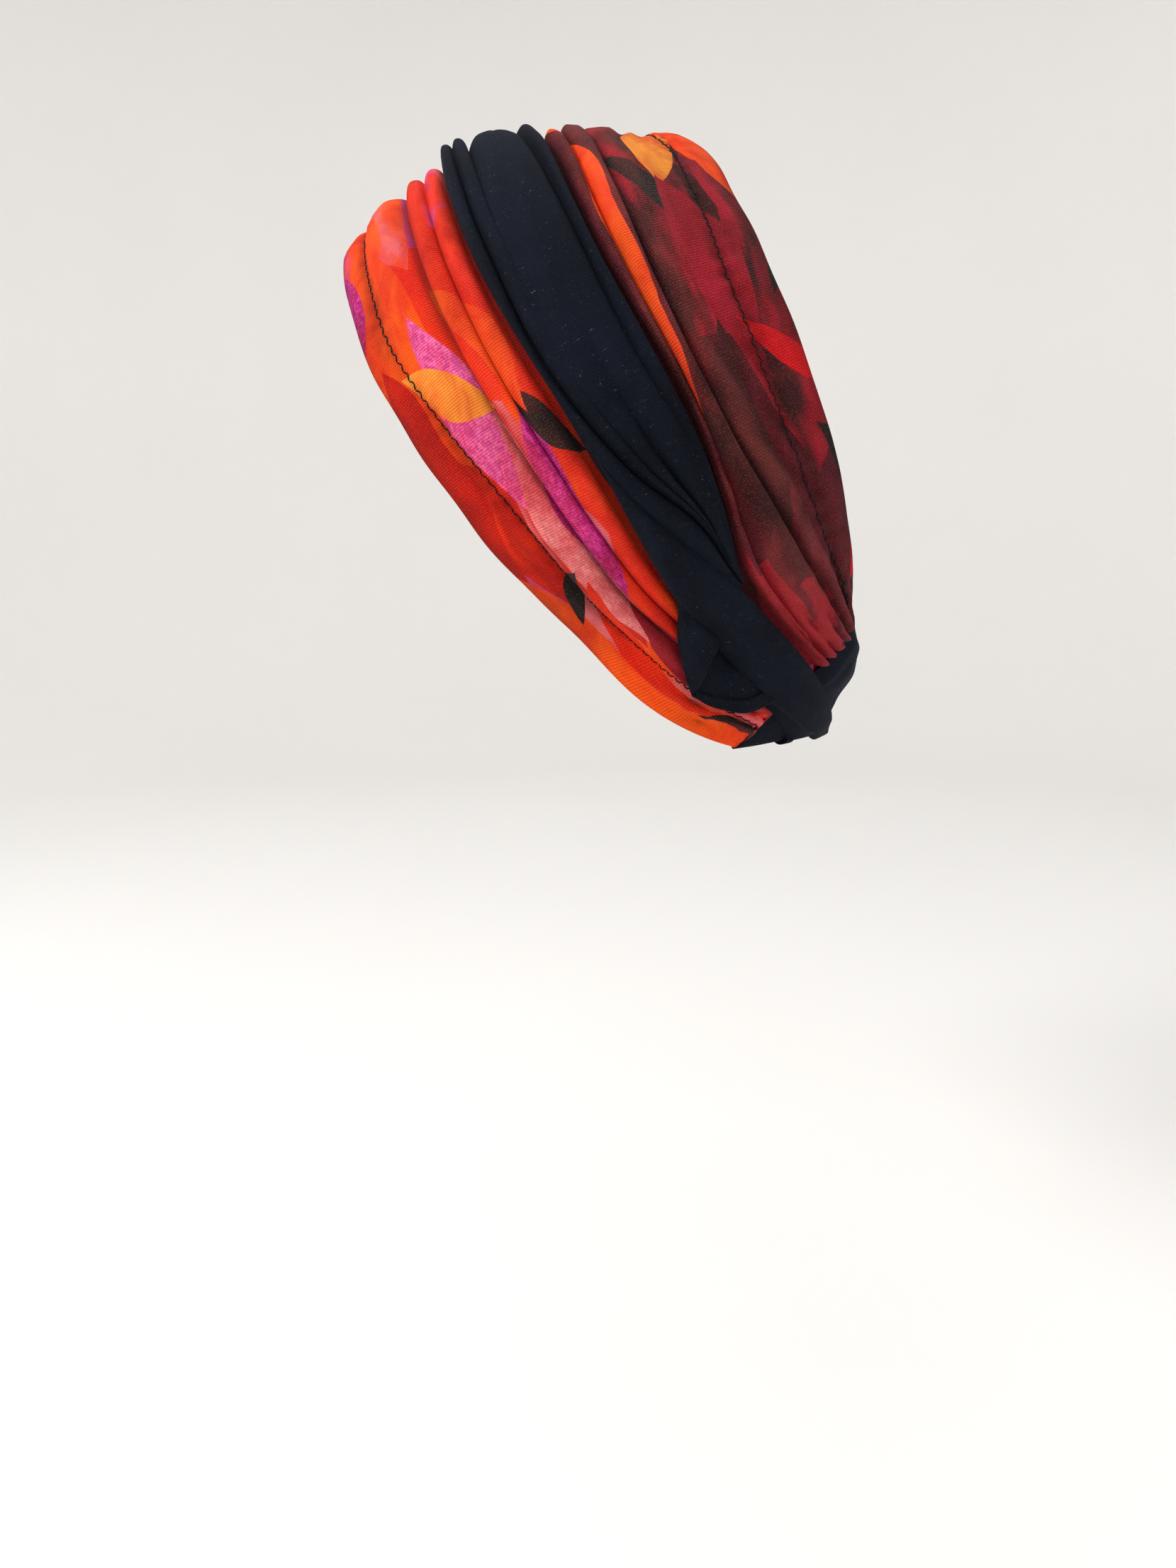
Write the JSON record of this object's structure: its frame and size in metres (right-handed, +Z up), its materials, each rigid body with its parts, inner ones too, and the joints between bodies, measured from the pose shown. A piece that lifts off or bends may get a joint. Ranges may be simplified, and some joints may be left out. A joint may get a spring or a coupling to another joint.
{
  "type": "tie headband",
  "caption": "Wide jersey headband worn over the crown: printed band with ruched folds, plain tie strap, gathered nape band, and a wrapped knot with a folded tail.",
  "frame": {"origin": "crown seat: the top of the hollow that the band is worn on, midway between the sides", "axes": "+Z up as worn, the forehead towards -Y, the nape towards +Y, the knot on the +X side"},
  "size_m": [0.168, 0.1609, 0.1852],
  "materials": {
    "printed_jersey": "matte stretch jersey with a painterly petal print in orange, red, pink, maroon and charcoal, hems stitched in black",
    "navy_jersey_strap": "matte navy-black stretch jersey, ruched lengthwise",
    "navy_jersey_wrap": "matte navy-black stretch jersey, smooth and puffed",
    "navy_jersey_tail": "matte navy-black stretch jersey, folded open",
    "navy_jersey_casing": "matte navy-black stretch jersey over elastic, softly gathered"
  },
  "bodies": {
    "root": {"printed_band": "printed_jersey", "tie_strap": "navy_jersey_strap", "knot_wrap": "navy_jersey_wrap", "tie_tail": "navy_jersey_tail", "nape_band": "navy_jersey_casing"}
  },
  "joints": []
}
